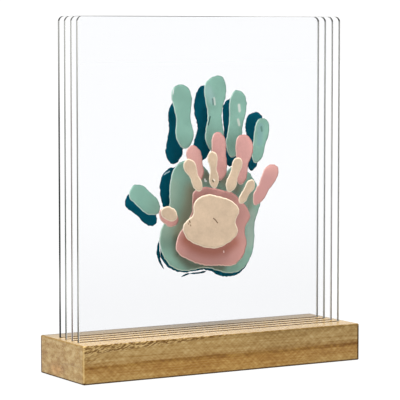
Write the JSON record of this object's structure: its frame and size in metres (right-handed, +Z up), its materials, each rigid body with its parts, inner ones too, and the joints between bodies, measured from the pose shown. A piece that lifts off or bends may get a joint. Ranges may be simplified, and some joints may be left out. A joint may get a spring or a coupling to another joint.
{
  "type": "handprint display frame",
  "caption": "Slotted wooden block holding a row of upright clear acrylic panels with rounded corners, each with a painted handprint, so that hands nest from large at the back to small in front.",
  "frame": {"origin": "middle of the block's underside, on the table", "axes": "+X along the block to the right as seen from the front, +Y from the front panel to the back panel, +Z up"},
  "size_m": [0.271, 0.0782, 0.299],
  "materials": {
    "wood": "oiled, satin, straight grain",
    "clear_acrylic": "clear, polished",
    "cream_paint": "dried acrylic paint, satin",
    "pink_paint": "dried acrylic paint, satin",
    "green_paint": "dried acrylic paint, satin",
    "teal_paint": "dried acrylic paint, satin"
  },
  "bodies": {
    "base": {"wood_floor": "wood", "wood_front_rail": "wood", "wood_back_rail": "wood", "wood_left_end": "wood", "wood_right_end": "wood", "wood_divider_1": "wood", "wood_divider_2": "wood", "wood_divider_3": "wood"},
    "front_panel": {"panel_front": "clear_acrylic", "cream_palm": "cream_paint", "cream_thumb": "cream_paint", "cream_index": "cream_paint", "cream_middle": "cream_paint", "cream_ring": "cream_paint", "cream_little": "cream_paint"},
    "second_panel": {"panel_second": "clear_acrylic", "pink_palm": "pink_paint", "pink_thumb": "pink_paint", "pink_index": "pink_paint", "pink_middle": "pink_paint", "pink_ring": "pink_paint", "pink_little": "pink_paint"},
    "third_panel": {"panel_third": "clear_acrylic", "green_palm": "green_paint", "green_thumb": "green_paint", "green_index": "green_paint", "green_middle": "green_paint", "green_ring": "green_paint", "green_little": "green_paint"},
    "back_panel": {"panel_back": "clear_acrylic", "teal_palm": "teal_paint", "teal_thumb": "teal_paint", "teal_index": "teal_paint", "teal_middle": "teal_paint", "teal_ring": "teal_paint", "teal_little": "teal_paint", "teal_heel_streaks": "teal_paint"}
  },
  "joints": [
    {"name": "front_panel_lift", "type": "slide", "parent": "base", "child": "front_panel", "axis": [0, 0, 1], "range_m": [0, 0.04]},
    {"name": "second_panel_lift", "type": "slide", "parent": "base", "child": "second_panel", "axis": [0, 0, 1], "range_m": [0, 0.04]},
    {"name": "third_panel_lift", "type": "slide", "parent": "base", "child": "third_panel", "axis": [0, 0, 1], "range_m": [0, 0.04]},
    {"name": "back_panel_lift", "type": "slide", "parent": "base", "child": "back_panel", "axis": [0, 0, 1], "range_m": [0, 0.04]}
  ]
}
